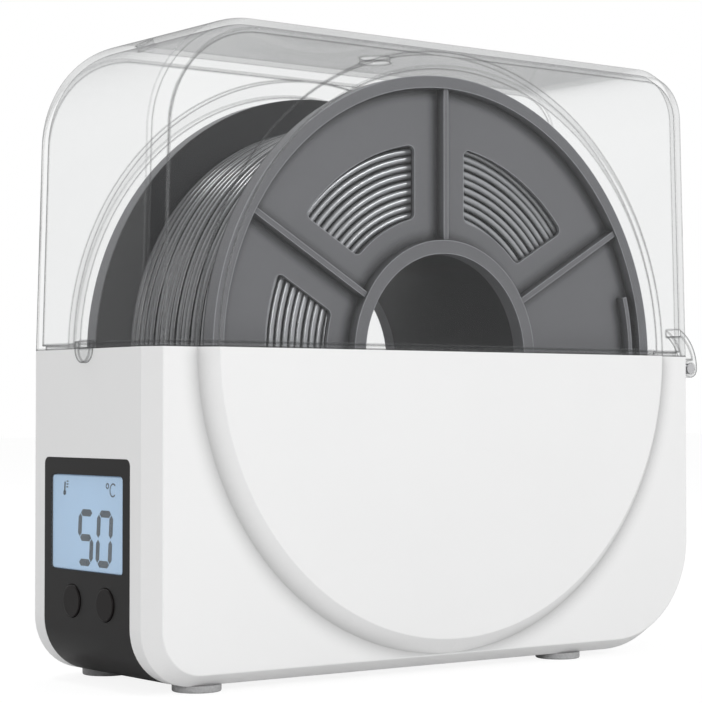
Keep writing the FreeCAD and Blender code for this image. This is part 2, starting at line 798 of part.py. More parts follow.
def make_lcd_backlight():
    """Backlight block between the glass and the control board."""
    margin = lcd_margin - backlight_inset
    corners = rectangle(0, lcd_width + 2 * margin, lcd_low_z - margin, lcd_top_z + margin, lcd_corner)
    return plate(corners, (glass_back_x, board_x))


def make_control_board():
    """Circuit board behind the display, screwed to the panel's posts."""
    corners = rectangle(0, 2 * board_half_width, board_low_z, board_top_z, lcd_corner)
    board = plate(corners, (board_x, board_back_x))
    holes = [rod(Vector(board_x, y, z), LENGTHWISE, board_screw_radius + screw_clearance, board_thickness)
             for y, z in post_places()]
    return board.cut(holes)


def make_button(side):
    """Key cap with a retaining flange and a stem that presses its switch."""
    y = button_y(side)
    cap_x = front_x - button_proud
    flange_x = panel_back_x + button_flange_gap
    stem_x = flange_x + button_flange_thickness
    cap = rod(Vector(cap_x, y, button_z), LENGTHWISE, button_radius, flange_x - cap_x)
    rim = [edge for edge in cap.Edges if abs(edge.BoundBox.XMax - cap_x) < 1e-6]
    cap = cap.makeFillet(button_round, rim)
    flange = rod(Vector(flange_x, y, button_z), LENGTHWISE, button_radius + button_flange,
                 button_flange_thickness)
    stem = rod(Vector(stem_x, y, button_z), LENGTHWISE, button_stem_radius, button_stem)
    return cap.fuse([flange, stem])


def make_tact_switches():
    """Two switches on the board, one behind each key."""
    switches = []
    stem_tip_x = panel_back_x + button_flange_gap + button_flange_thickness + button_stem
    plunger_x = stem_tip_x + button_travel + switch_gap
    for name, side in BUTTONS:
        y, half = button_y(side), switch_side / 2
        body = box((board_x - switch_body, board_x), (y - half, y + half), (button_z - half, button_z + half))
        plunger = rod(Vector(plunger_x, y, button_z), LENGTHWISE, switch_plunger_radius, board_x - plunger_x)
        switches.append(body.fuse(plunger))
    return Part.makeCompound(switches)


def make_screw(tip, direction, radius, length, head_radius, head):
    """Round-headed screw from its tip to its head, the direction pointing out of the head."""
    shank = rod(tip, direction, radius, length)
    return shank.fuse(rod(tip + direction * length, direction, head_radius, head))


def make_board_screws():
    """Four screws through the board into the panel's posts."""
    tip_x = board_back_x - board_screw_length
    return Part.makeCompound([make_screw(Vector(tip_x, y, z), LENGTHWISE, board_screw_radius,
                                         board_screw_length, board_screw_head_radius, board_screw_head)
                              for y, z in post_places()])


def make_base_screws():
    """Four screws from below that hold the chamber floor down."""
    seat_z = base_z + screw_head + head_recess
    return Part.makeCompound([make_screw(Vector(x, y, seat_z + base_screw_length), UP * -1, screw_radius,
                                         base_screw_length, screw_head_radius, screw_head)
                              for x, y in boss_places()])


def make_cradle_screws():
    """Two screws in each cradle's plate."""
    screws = []
    for along in (-1, 1):
        for name, side in SIDES:
            tip = Vector(bulge_x + along * roller_reach, side * cradle_screw_spacing / 2, floor_z)
            screws.append(make_screw(tip, UP, screw_radius, cradle_plate, screw_head_radius, screw_head))
    return Part.makeCompound(screws)


def make_dc_jack():
    """Round panel inlet for a low-voltage plug, with its middle pin."""
    flange = rod(Vector(rear_x, 0, jack_z), LENGTHWISE, jack_flange_radius, jack_flange)
    barrel = rod(Vector(jack_back_x, 0, jack_z), LENGTHWISE, jack_radius, jack_length)
    mouth_x = rear_x + jack_flange
    bore = rod(Vector(mouth_x - jack_bore_depth, 0, jack_z), LENGTHWISE, jack_bore_radius, jack_bore_depth)
    pin = rod(Vector(mouth_x - jack_bore_depth, 0, jack_z), LENGTHWISE, jack_pin_radius,
              jack_bore_depth - jack_pin_recess)
    return flange.fuse(barrel).cut(bore).fuse(pin)


def make_dc_jack_nut():
    """Hexagon nut that clamps the inlet from inside."""
    inner_x = rear_x - base_wall
    points = [(nut_radius * math.cos(i * math.pi / 3), jack_z + nut_radius * math.sin(i * math.pi / 3), 0)
              for i in range(6)]
    nut = plate(points, (inner_x - nut_thickness, inner_x))
    hole = rod(Vector(inner_x - nut_thickness, 0, jack_z), LENGTHWISE, jack_radius + thread_clearance,
               nut_thickness)
    return nut.cut(hole)


def make_thermistor():
    """Temperature probe that stands up through the front deck."""
    low_z = deck_z + probe_proud - probe_length
    probe = rod(Vector(probe_x, probe_side, low_z), UP, probe_radius, probe_length)
    tip = [edge for edge in probe.Edges if edge.BoundBox.ZMin > deck_z]
    probe = probe.makeFillet(probe_radius / 2, tip)
    return probe.fuse(rod(Vector(probe_x, probe_side, deck_z), UP, probe_flange_radius, probe_flange))


def make_lead(name, points, radius):
    """Round lead along straight runs joined by arcs that start a set way before each corner."""
    edges, start, radii = [], points[0], []
    for before, corner, after in zip(points, points[1:], points[2:]):
        towards, away = before - corner, after - corner
        run = min(lead_bend_reach, 0.45 * towards.Length, 0.45 * away.Length)
        half_turn = towards.getAngle(away) / 2
        towards.normalize()
        away.normalize()
        bend = run * math.tan(half_turn)
        centre = corner + (towards + away).normalize() * (bend / math.sin(half_turn))
        middle = centre + (corner - centre).normalize() * bend
        edges.append(Part.LineSegment(start, corner + towards * run).toShape())
        edges.append(Part.Arc(corner + towards * run, middle, corner + away * run).toShape())
        start = corner + away * run
        radii.append(round(bend, 1))
    edges.append(Part.LineSegment(start, points[-1]).toShape())
    path = Part.Wire(edges)
    section = Part.Wire(Part.Circle(points[0], points[1] - points[0], radius).toShape())
    print(name, "bend radii", radii)
    return path.makePipeShell([section], True, False)


def make_power_lead():
    """Lead from the inlet, down the rear wall and along the floor to the control board."""
    low_z = floor_z + power_lead_radius + lead_lift
    side_y = cradle_outer_y + power_lead_radius + lead_lift
    end_z = button_z + power_lead_rise
    return make_lead("power_lead", [
        Vector(jack_back_x, 0, jack_z),
        Vector(jack_back_x - lead_exit, 0, jack_z),
        Vector(jack_back_x - power_lead_fall, side_y, low_z),
        Vector(front_x + lead_front_turn, side_y, low_z),
        Vector(board_back_x + 2 * lead_exit, power_lead_side, end_z),
        Vector(board_back_x, power_lead_side, end_z)], power_lead_radius)


def heater_lead_start():
    """Where the heater's lead leaves the film, and its direction there."""
    turn = math.radians(heater_lead_angle)
    outward = Vector(-math.sin(turn), 0, -math.cos(turn))
    return Vector(bulge_x, heater_lead_side, spool_z) + outward * (trough_radius - heating_film_gap), outward


def make_heater_lead():
    """Lead from the film heater, out through the chamber floor and forward to the control board."""
    start, outward = heater_lead_start()
    low_z = floor_z + cradle_plate + heater_lead_radius + lead_lift
    corner = start + outward * ((low_z - start.z) / outward.z)
    end_z = button_z + heater_lead_rise
    return make_lead("heater_lead", [
        start,
        corner,
        Vector(front_x + lead_front_turn, heater_lead_side, low_z),
        Vector(board_back_x + 2 * lead_exit, heater_lead_side, end_z),
        Vector(board_back_x, heater_lead_side, end_z)], heater_lead_radius)


def make_sensor_lead():
    """Lead from the temperature probe down to the control board."""
    low_z = deck_z + probe_proud - probe_length
    end_z = low_z - sensor_lead_drop
    bow_x = board_back_x + sensor_lead_bow
    return make_lead("sensor_lead", [
        Vector(probe_x, probe_side, low_z),
        Vector(probe_x, probe_side, low_z - lead_exit),
        Vector(bow_x, probe_side, (low_z - lead_exit + end_z) / 2),
        Vector(bow_x, probe_side, end_z),
        Vector(board_back_x, probe_side, end_z)], sensor_lead_radius)


def make_parts():
    """Every piece by its name."""
    parts = {
        "base_shell": make_base_shell(),
        "chamber_trough": make_chamber_trough(),
        "heater_plate": make_heater_plate(),
        "heating_film": make_heating_film(),
        "roller_bushings": make_roller_bushings(),
        "front_panel": make_front_panel(),
        "lcd_window": make_lcd_window(),
        "lcd_display": make_lcd_display(),
        "lcd_backlight": make_lcd_backlight(),
        "control_board": make_control_board(),
        "tact_switches": make_tact_switches(),
        "board_screws": make_board_screws(),
        "base_screws": make_base_screws(),
        "cradle_screws": make_cradle_screws(),
        "dc_jack": make_dc_jack(),
        "dc_jack_nut": make_dc_jack_nut(),
        "thermistor": make_thermistor(),
        "power_lead": make_power_lead(),
        "heater_lead": make_heater_lead(),
        "sensor_lead": make_sensor_lead(),
        "lid_shell": make_lid_shell(),
        "filament_core": make_filament_core(),
        "filament_winding": make_filament_winding(),
    }
    near_half = make_spool_half()
    parts["spool_near_half"] = near_half
    parts["spool_far_half"] = near_half.mirror(Vector(0, 0, 0), ACROSS)
    for name, side in SIDES:
        parts["hinge_pin_" + name] = make_hinge_pin(side)
        foot_y = side * (half_width - foot_side_inset)
        parts["foot_front_" + name] = make_foot(front_x + foot_front_inset, foot_y)
        parts["foot_rear_" + name] = make_foot(rear_x - foot_rear_inset, foot_y)
    for end, along in (("front", -1), ("rear", 1)):
        parts["roller_cradle_" + end] = make_roller_cradle(along)
        parts[end + "_roller_axle"] = make_roller_axle(along)
        for name, side in SIDES:
            parts[end + "_roller_" + name] = make_roller(along, side)
    for name, side in BUTTONS:
        parts["button_" + name] = make_button(side)
    return parts


os.makedirs("parts", exist_ok=True)
for node, shape in make_parts().items():
    shape.exportStep("parts/" + node + ".step")
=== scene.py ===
"""Looks of a filament dryer box: finishes for its moulded, metal and clear pieces, the wound
filament, the display's figures, and a plain studio stage."""
import math

import bpy
import numpy as np
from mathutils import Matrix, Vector


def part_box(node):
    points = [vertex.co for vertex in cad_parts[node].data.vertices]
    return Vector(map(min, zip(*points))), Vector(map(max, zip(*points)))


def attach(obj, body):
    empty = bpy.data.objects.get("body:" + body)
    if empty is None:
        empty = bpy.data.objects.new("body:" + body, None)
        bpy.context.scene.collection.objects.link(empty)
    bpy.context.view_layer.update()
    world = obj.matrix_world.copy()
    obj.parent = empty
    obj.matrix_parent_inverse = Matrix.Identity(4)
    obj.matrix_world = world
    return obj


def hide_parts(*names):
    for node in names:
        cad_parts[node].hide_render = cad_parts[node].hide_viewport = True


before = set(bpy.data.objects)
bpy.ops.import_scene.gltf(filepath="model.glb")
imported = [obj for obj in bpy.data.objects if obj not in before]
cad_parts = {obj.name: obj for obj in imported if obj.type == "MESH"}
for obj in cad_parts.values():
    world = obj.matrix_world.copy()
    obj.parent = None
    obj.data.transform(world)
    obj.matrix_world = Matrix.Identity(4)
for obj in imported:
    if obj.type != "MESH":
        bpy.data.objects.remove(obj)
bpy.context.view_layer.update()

bl_info = {
    "name": "Filament Dryer Box",
    "version": (1, 0, 0),
    "blender": (4, 5, 0),
    "location": "View3D > Sidebar > Dryer",
    "description": "Dresses the dryer box, its spool and its display, and sets the stage",
    "category": "Object",
}

MM = 0.001


def box_of(node):
    """Lowest and highest corner of a CAD node as arrays, in metres."""
    low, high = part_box(node)
    return np.array(low), np.array(high)


SPOOL_LOW, SPOOL_HIGH = box_of("spool_near_half")
CORE_HIGH = box_of("filament_core")[1]
WOUND_LOW, WOUND_HIGH = box_of("filament_winding")
LENS_LOW, LENS_HIGH = box_of("lcd_window")
SPOOL_X = (SPOOL_LOW[0] + SPOOL_HIGH[0]) / 2
SPOOL_Z = (SPOOL_LOW[2] + SPOOL_HIGH[2]) / 2
SPOOL_RADIUS = (SPOOL_HIGH[2] - SPOOL_LOW[2]) / 2
WOUND_RADIUS = (WOUND_HIGH[2] - WOUND_LOW[2]) / 2


class FinishSettings(bpy.types.PropertyGroup):
    """Colours of the pieces."""
    white: bpy.props.FloatVectorProperty(
        name="White plastic", description="Colour of the base", subtype="COLOR", size=3,
        default=(0.86, 0.86, 0.86))
    black: bpy.props.FloatVectorProperty(
        name="Black plastic", description="Colour of the front panel", subtype="COLOR", size=3,
        default=(0.016, 0.0155, 0.0155))
    key: bpy.props.FloatVectorProperty(
        name="Keys", description="Colour of the two keys", subtype="COLOR", size=3,
        default=(0.007, 0.0055, 0.0055))
    spool: bpy.props.FloatVectorProperty(
        name="Spool plastic", description="Colour of the spool", subtype="COLOR", size=3,
        default=(0.154, 0.155, 0.164))
    filament: bpy.props.FloatVectorProperty(
        name="Filament", description="Colour of the wound strand", subtype="COLOR", size=3,
        default=(0.15, 0.153, 0.16))
    lid_edge: bpy.props.FloatVectorProperty(
        name="Lid edge", description="Tint of the clear lid where it is seen edge-on",
        subtype="COLOR", size=3, default=(0.06, 0.062, 0.064))


class WindingSettings(bpy.types.PropertyGroup):
    """Sizes of the wound filament."""
    strand: bpy.props.FloatProperty(
        name="Strand", description="Diameter of the filament", default=2.85 * MM, unit="LENGTH")
    turns: bpy.props.IntProperty(
        name="Turns", description="Turns in the outer layer", default=20, min=4)
    wander: bpy.props.FloatProperty(
        name="Wander", description="How far a turn strays sideways", default=0.3 * MM,
        unit="LENGTH")


class DisplaySettings(bpy.types.PropertyGroup):
    """Colours and figures of the display."""
    lit: bpy.props.FloatVectorProperty(
        name="Lit ground", description="Colour of the backlit display", subtype="COLOR", size=3,
        default=(0.325, 0.47, 0.635))
    ink: bpy.props.FloatVectorProperty(
        name="Figures", description="Colour of the figures", subtype="COLOR", size=3,
        default=(0.026, 0.046, 0.064))
    reading: bpy.props.StringProperty(
        name="Reading", description="Number shown on the display", default="50")


class StageSettings(bpy.types.PropertyGroup):
    """Camera, floor and light."""
    lens: bpy.props.FloatProperty(
        name="Focal length", description="Camera lens in millimetres", default=111.67)
    camera_place: bpy.props.FloatVectorProperty(
        name="Camera", description="Where the camera stands", subtype="TRANSLATION", size=3,
        unit="LENGTH", default=(-0.51195, -0.65497, 0.09549))
    camera_turn: bpy.props.FloatProperty(
        name="Camera turn", description="Turn of the view about the upright", subtype="ANGLE",
        default=math.radians(-37.13))
    camera_tilt: bpy.props.FloatProperty(
        name="Camera tilt", description="Tilt of the view above level", subtype="ANGLE",
        default=math.radians(1.54))
    world_light: bpy.props.FloatProperty(
        name="World light", description="Strength of the even light", default=0.52)


def settings(kind):
    """One of the scene's groups of settings."""
    return getattr(bpy.context.scene, "dryer_" + kind)


class Value:
    """A shader socket that can be used in expressions; each operator adds a Math node."""

    def __init__(self, shader, socket):
        self.shader = shader
        self.socket = socket

    def _math(self, operation, first, second):
        node = self.shader.node("ShaderNodeMath", {"operation": operation}, {0: first, 1: second})
        return Value(self.shader, node.outputs[0])

    def __add__(self, other):
        return self._math("ADD", self, other)

    __radd__ = __add__

    def __mul__(self, other):
        return self._math("MULTIPLY", self, other)

    __rmul__ = __mul__

    def __sub__(self, other):
        return self._math("SUBTRACT", self, other)

    def __rsub__(self, other):
        return self._math("SUBTRACT", other, self)

    def __truediv__(self, other):
        return self._math("DIVIDE", self, other)

    def __pow__(self, other):
        return self._math("POWER", self, other)

    def above(self, other):
        return self._math("GREATER_THAN", self, other)

    def below(self, other):
        return self._math("LESS_THAN", self, other)

    def least(self, other):
        return self._math("MINIMUM", self, other)

    def sine(self):
        return self._math("SINE", self, 0.0)


class Finish:
    """A material built round one Principled shader."""

    def __init__(self, name, **plain):
        self.material = bpy.data.materials.new(name)
        self.material.use_nodes = True
        self.tree = self.material.node_tree
        self.shader = self.tree.nodes["Principled BSDF"]
        self.set(**plain)

    def node(self, kind, setup, values):
        """Adds a node, sets it up, then fills its sockets with numbers or links."""
        made = self.tree.nodes.new(kind)
        for name, value in setup.items():
            setattr(made, name, value)
        for name, value in values.items():
            self.feed(made.inputs[name], value)
        return made

    def feed(self, socket, value):
        """Puts a number, a colour or a link into a socket."""
        if isinstance(value, Value):
            self.tree.links.new(value.socket, socket)
        elif isinstance(value, bpy.types.NodeSocket):
            self.tree.links.new(value, socket)
        else:
            socket.default_value = value

    def set(self, **values):
        """Fills sockets of the Principled shader, with underscores for spaces."""
        for name, value in values.items():
            if isinstance(value, (tuple, list)) and len(value) == 3:
                value = (*value, 1.0)
            self.feed(self.shader.inputs[name.replace("_", " ")], value)
        return self

    def place(self):
        """Object coordinates, in metres."""
        return self.node("ShaderNodeTexCoord", {}, {}).outputs["Object"]

    def stretched(self, scale):
        """Object coordinates stretched along the axes."""
        made = self.node("ShaderNodeMapping", {}, {"Vector": self.place(), "Scale": scale})
        return made.outputs["Vector"]

    def centred(self, node):
        """Object coordinates measured from the middle of a CAD node."""
        low, high = box_of(node)
        made = self.node("ShaderNodeMapping", {"vector_type": "POINT"}, {
            "Vector": self.place(), "Location": tuple(-(low + high) / 2)})
        return made.outputs["Vector"]

    def length(self, vector):
        """Length of a vector, in metres."""
        made = self.node("ShaderNodeVectorMath", {"operation": "LENGTH"}, {0: vector})
        return Value(self, made.outputs["Value"])

    def noise(self, grain, detail=2.0, where=None):
        """Noise whose blotches are about grain metres across."""
        made = self.node("ShaderNodeTexNoise", {}, {
            "Vector": where or self.place(), "Scale": 1.0 / grain, "Detail": detail})
        return Value(self, made.outputs[0])

    def mix(self, factor, first, second):
        """Colour between two colours, each written out or linked."""
        first, second = ((*side, 1.0) if isinstance(side, tuple) else side
                         for side in (first, second))
        made = self.node("ShaderNodeMix", {"data_type": "RGBA"}, {0: factor, 6: first, 7: second})
        return made.outputs[2]

    def bump(self, height, depth):
        """Normal from a height field, depth in metres."""
        made = self.node("ShaderNodeBump", {}, {
            "Height": height, "Distance": depth, "Strength": 1.0})
        return made.outputs["Normal"]

    def turned_edge(self, radius, gain=16.0):
        """How far a corner within a radius turns the surface, from nought on a flat face."""
        rounded = self.node("ShaderNodeBevel", {"samples": 5}, {"Radius": radius})
        plain = self.node("ShaderNodeNewGeometry", {}, {})
        along = self.node("ShaderNodeVectorMath", {"operation": "DOT_PRODUCT"}, {
            0: rounded.outputs["Normal"], 1: plain.outputs["Normal"]})
        return ((1.0 - Value(self, along.outputs["Value"])) * gain).least(1.0)

    def hollow(self, reach):
        """How far the piece's own walls close in within a reach, from nought on an open face."""
        made = self.node("ShaderNodeAmbientOcclusion", {"samples": 14, "only_local": True}, {
            "Distance": reach})
        return 1.0 - Value(self, made.outputs["AO"])

    def surface(self, shader):
        """Puts another shader than the Principled one on the surface."""
        self.tree.links.new(shader, self.tree.nodes["Material Output"].inputs["Surface"])

    def edge_on(self):
        """How edge-on the surface is seen, for clear pieces."""
        made = self.node("ShaderNodeLayerWeight", {}, {"Blend": 0.5})
        return Value(self, made.outputs["Facing"])


def shade(colour, factor):
    """A colour made lighter or darker."""
    return tuple(min(1.0, part * factor) for part in colour)


def moulded(name, colour, roughness, grain, depth, spread=0.06, gloss=0.5, corner=0.0):
    """Moulded plastic: a fine spark-eroded skin of a grain and a depth in metres, a faint drift
    of tone and gloss, and painted shade in inner corners, as strong as corner says."""
    finish = Finish(name, Specular_IOR_Level=gloss)
    drift = finish.noise(45 * MM, 3.0)
    skin = finish.noise(grain)
    tone = finish.mix(drift, shade(colour, 1 - spread), shade(colour, 1 + spread))
    if corner:
        # painted shade: inner corners darkened where the piece's own walls close in
        painted_corner_shade = finish.hollow(8 * MM) * corner
        tone = finish.mix(painted_corner_shade.least(1.0), tone, shade(colour, 0.3))
    finish.set(Base_Color=tone, Roughness=roughness - 0.05 + drift * 0.06 + skin * 0.05,
               Normal=finish.bump(skin, depth))
    return finish


def key_plastic(name, node):
    """Black key: a brownish dark face inside a paler rim, a painted highlight."""
    colour = tuple(settings("finish").key)
    # painted highlight: the paler ring round the key's face
    painted_rim_highlight = (0.1, 0.098, 0.096)
    rim_width = 0.5 * MM
    low, high = box_of(node)
    face_radius = (high[2] - low[2]) / 2 - rim_width
    finish = Finish(name, Specular_IOR_Level=0.12)
    flat = finish.node("ShaderNodeVectorMath", {"operation": "MULTIPLY"}, {
        0: finish.centred(node), 1: (0.0, 1.0, 1.0)})
    rim = finish.length(flat.outputs["Vector"]).above(face_radius)
    drift = finish.noise(4 * MM)
    face = finish.mix(drift, shade(colour, 0.9), shade(colour, 1.1))
    finish.set(Base_Color=finish.mix(rim * (0.5 + drift * 0.4), face, painted_rim_highlight),
               Roughness=0.32 + drift * 0.08)
    return finish


def spool_plastic(name):
    """Satin grey plastic, with painted shade between the flanges and in its corners and a painted
    highlight on its open edges.
    """
    colour = tuple(settings("finish").spool)
    flange_inside = CORE_HIGH[1] + 0.9 * MM
    finish = Finish(name, Specular_IOR_Level=0.2)
    drift = finish.noise(50 * MM, 3.0)
    skin = finish.noise(2.8 * MM, 1.0)
    split = finish.node("ShaderNodeSeparateXYZ", {}, {0: finish.place()})
    across = Value(finish, split.outputs["Y"])
    # painted shade: the faces between the flanges, where little light reaches
    between = (across * across).below(flange_inside ** 2)
    painted_corner_shade = finish.hollow(5 * MM)
    painted_edge_highlight = finish.turned_edge(0.6 * MM) * painted_corner_shade.below(0.12)
    tone = finish.mix(drift, shade(colour, 0.95), shade(colour, 1.05))
    # painted shade in the spool's corners
    tone = finish.mix((painted_corner_shade * 1.9).least(0.92), tone, shade(colour, 0.12))
    # painted highlight: open edges made paler, as if catching the light
    tone = finish.mix(painted_edge_highlight * 0.7, tone, shade(colour, 3.0))
    # painted shade between the flanges
    tone = finish.mix(between * 0.9, tone, shade(colour, 0.08))
    finish.set(Base_Color=tone, Roughness=0.36 + drift * 0.06 + skin * 0.04,
               Normal=finish.bump(skin, 0.002 * MM))
    return finish


def metal(name, colour, roughness, along):
    """Drawn or brushed metal: scratches, long on each axis whose stretch in along is small."""
    finish = Finish(name, Metallic=1.0)
    lines = finish.noise(0.6 * MM, where=finish.stretched(along))
    finish.set(Base_Color=finish.mix(lines, shade(colour, 0.88), shade(colour, 1.06)),
               Roughness=roughness + lines * 0.14, Normal=finish.bump(lines, 0.02 * MM))
    return finish


def rubber(name, colour):
    """Dull rubber with a pebbled skin."""
    finish = Finish(name)
    pebble = finish.noise(0.9 * MM)
    finish.set(Base_Color=finish.mix(pebble, shade(colour, 0.8), shade(colour, 1.25)),
               Roughness=0.72 + pebble * 0.15, Normal=finish.bump(pebble, 0.06 * MM))
    return finish


def clear_lid(name):
    """Clear polished plastic: nearly unseen face-on, grey seen edge-on, with painted grey lines where
    it turns a corner.
    """
    tint = tuple(settings("finish").lid_edge)
    haze = (0.86, 0.87, 0.88)
    clearness = (0.974, 0.976, 0.976, 1.0)
    finish = Finish(name, Roughness=0.3, Specular_IOR_Level=0.0)
    drift = finish.noise(60 * MM)
    away = finish.edge_on()
    # painted shade: grey lines where the lid turns a corner, in place of the light its thick edges
    # bend
    turned = finish.turned_edge(1.3 * MM, 40.0)
    veil = 0.01 + drift * 0.006 + (away ** 4.0) * 0.5 + (away ** 14.0) * 0.35 + turned * 0.62
    mirror = 0.006 + (away ** 5.0) * 0.25
    finish.set(Base_Color=finish.mix((away ** 3.0 + turned).least(1.0), haze, tint))
    clear = finish.node("ShaderNodeBsdfTransparent", {}, {"Color": clearness})
    veiled = finish.node("ShaderNodeMixShader", {}, {
        0: veil.least(0.92), 1: clear.outputs[0], 2: finish.shader.outputs[0]})
    shine = finish.node("ShaderNodeBsdfGlossy", {}, {"Roughness": 0.03})
    whole = finish.node("ShaderNodeMixShader", {}, {
        0: mirror, 1: veiled.outputs[0], 2: shine.outputs[0]})
    finish.surface(whole.outputs[0])
    return finish


def clear_lens(name):
    """Clear display lens, with a trace of its own tone."""
    finish = Finish(name, Roughness=0.06, IOR=1.5)
    smear = finish.noise(9 * MM, 3.0)
    finish.set(Base_Color=finish.mix(smear, (0.78, 0.84, 0.9), (0.86, 0.9, 0.95)),
               Alpha=0.05 + smear * 0.03)
    return finish


def lit_display(name):
    """Backlit liquid crystal: pale blue, a little brighter towards the middle."""
    lit = tuple(settings("display").lit)
    reach = 34 * MM
    finish = Finish(name, Roughness=0.25, Emission_Strength=0.33)
    fall = (finish.length(finish.centred("lcd_display")) / reach).least(1.0)
    grain = finish.noise(0.8 * MM, 1.0)
    tone = finish.mix(fall * 0.8 + grain * 0.2, shade(lit, 1.05), shade(lit, 0.9))
    finish.set(Base_Color=tone, Emission_Color=tone)
    return finish


def display_ink(name):
    """Dark slate figures of the display."""
    ink = tuple(settings("display").ink)
    finish = Finish(name, Roughness=0.4)
    grain = finish.noise(0.7 * MM, 1.0)
    finish.set(Base_Color=finish.mix(grain, shade(ink, 0.85), shade(ink, 1.2)))
    return finish


def filament_finish(name, lightness):
    """Silky drawn strand from its own UV map: fine lines along it, and painted shade on the flanks
    between turns with a painted highlight on each turn's outer side.
    """
    colour = shade(settings("finish").filament, lightness)
    finish = Finish(name, IOR=1.5, Coat_Roughness=0.12)
    uv = finish.node("ShaderNodeUVMap", {"uv_map": "strand"}, {}).outputs["UV"]
    split = finish.node("ShaderNodeSeparateXYZ", {}, {0: uv})
    painted_strand_light = (Value(finish, split.outputs["Y"]) * (2 * math.pi) + math.pi / 2).sine() * 0.5 + 0.5
    drawn_out = finish.node("ShaderNodeMapping", {}, {"Vector": uv, "Scale": (0.08, 5.0, 1.0)})
    lines = finish.noise(1.0, where=drawn_out.outputs["Vector"])
    drift = finish.noise(20 * MM)
    # painted shade and highlight: dark flanks and a light outer side round each strand
    tone = (painted_strand_light ** 6.0) * 0.95 + lines * 0.05
    finish.set(Base_Color=finish.mix(tone, shade(colour, 0.05), shade(colour, 1.5)),
               Metallic=0.4 + lines * 0.05, Roughness=0.18 + drift * 0.08,
               Coat_Weight=0.1 + painted_strand_light * 0.5)
    return finish


def circuit_board(name):
    """Green solder mask with paler tracks."""
    mask, track = (0.012, 0.09, 0.035), (0.03, 0.17, 0.07)
    finish = Finish(name, Roughness=0.35)
    raised = finish.noise(3.5 * MM, 1.0, finish.stretched((0.2, 1.0, 3.0))).above(0.56)
    finish.set(Base_Color=finish.mix(raised, mask, track), Normal=finish.bump(raised, 0.04 * MM))
    return finish


def dress(finish, *nodes):
    """Gives a finish to CAD nodes."""
    for node in nodes:
        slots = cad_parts[node].data.materials
        slots.clear()
        slots.append(finish.material)


def add_mesh(name, points, faces, finish, body, smooth=True):
    """Makes an object from whole arrays of points and faces, and lets it ride on a body."""
    mesh = bpy.data.meshes.new(name)
    mesh.from_pydata(points.tolist(), [], faces if isinstance(faces, list) else faces.tolist())
    mesh.update()
    mesh.polygons.foreach_set("use_smooth", np.full(len(mesh.polygons), smooth))
    mesh.materials.append(finish.material)
    made = bpy.data.objects.new(name, mesh)
    bpy.context.scene.collection.objects.link(made)
    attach(made, body)
    return made


def grid_faces(rows, columns, close_rows=False, close_columns=False):
    """Quads of a grid of rows by columns of points, closed on itself where asked."""
    row = np.arange(rows if close_rows else rows - 1)
    column = np.arange(columns if close_columns else columns - 1)
    r, c = np.meshgrid(row, column, indexing="ij")
    r1, c1 = (r + 1) % rows, (c + 1) % columns
    corners = [r * columns + c, r1 * columns + c, r1 * columns + c1, r * columns + c1]
    return np.stack(corners, axis=-1).reshape(-1, 4)


def tube(path, radius, sides):
    """Round tube along a path about the spool's axis: each ring lies square to the path, and each
    end draws in to a tight ring and a cap."""
    tight = 0.02
    along = np.gradient(path, axis=0)
    along /= np.linalg.norm(along, axis=1, keepdims=True)
    out = path - np.array([SPOOL_X, 0.0, SPOOL_Z])
    out[:, 1] = 0.0
    out -= along * np.sum(out * along, axis=1, keepdims=True)
    out /= np.linalg.norm(out, axis=1, keepdims=True)
    across = np.cross(out, along)
    turn = np.linspace(0, 2 * np.pi, sides, endpoint=False)
    cosine, sine = np.cos(turn)[None, :, None], np.sin(turn)[None, :, None]
    ring = out[:, None, :] * cosine + across[:, None, :] * sine
    widths = np.full((len(path), 1, 1), radius)
    widths[0] = widths[-1] = radius * tight
    points = path[:, None, :] + ring * widths
    first = list(range(sides))
    last = [(len(path) - 1) * sides + corner for corner in reversed(first)]
    walls = grid_faces(len(path), sides, close_columns=True)
    return points.reshape(-1, 3), walls.tolist() + [first, last]


def strand_uv(made, rings, sides, length, radius, open_side=0.0):
    """UV map with u along the strand in diameters, and v once round it from its open side."""
    layer = made.data.uv_layers.new(name="strand")
    ring, side = np.meshgrid(np.arange(rings - 1), np.arange(sides), indexing="ij")
    u = np.stack([ring, ring + 1, ring + 1, ring], axis=-1) / rings * length / (2 * radius)
    v = np.stack([side, side, side + 1, side + 1], axis=-1) / sides - open_side
    walls = np.stack([u, v], axis=-1).reshape(-1, 2)
    caps = np.zeros((2 * sides, 2))
    layer.data.foreach_set("uv", np.concatenate([walls, caps]).astype(np.float32).ravel())


class DRYER_OT_case(bpy.types.Operator):
    """Finishes of the base, its chamber and its feet"""
    bl_idname = "dryer.case"
    bl_label = "Case"

    def execute(self, context):
        look = settings("finish")
        # corner=4.0 paints shade into the base's inner corners, such as round the foot of each bulge
        outside = moulded("white_satin_plastic", tuple(look.white), roughness=0.42, grain=0.45 * MM,
                          depth=0.006 * MM, spread=0.012, corner=4.0)
        dress(outside, "base_shell")
        inside = moulded("chamber_white_plastic", shade(look.white, 0.95), roughness=0.5,
                         grain=0.6 * MM, depth=0.02 * MM, spread=0.02)
        dress(inside, "chamber_trough", "roller_cradle_front", "roller_cradle_rear")
        dress(rubber("foot_rubber", (0.4, 0.4, 0.405)), "foot_front_near", "foot_front_far",
              "foot_rear_near", "foot_rear_far")
        return {"FINISHED"}


class DRYER_OT_lid(bpy.types.Operator):
    """Finish of the clear lid and its hinge pins"""
    bl_idname = "dryer.lid"
    bl_label = "Lid"

    def execute(self, context):
        dress(clear_lid("clear_lid_plastic"), "lid_shell")
        steel = metal("hinge_steel", (0.55, 0.55, 0.56), roughness=0.25, along=(1.0, 0.05, 1.0))
        dress(steel, "hinge_pin_near", "hinge_pin_far")
        return {"FINISHED"}


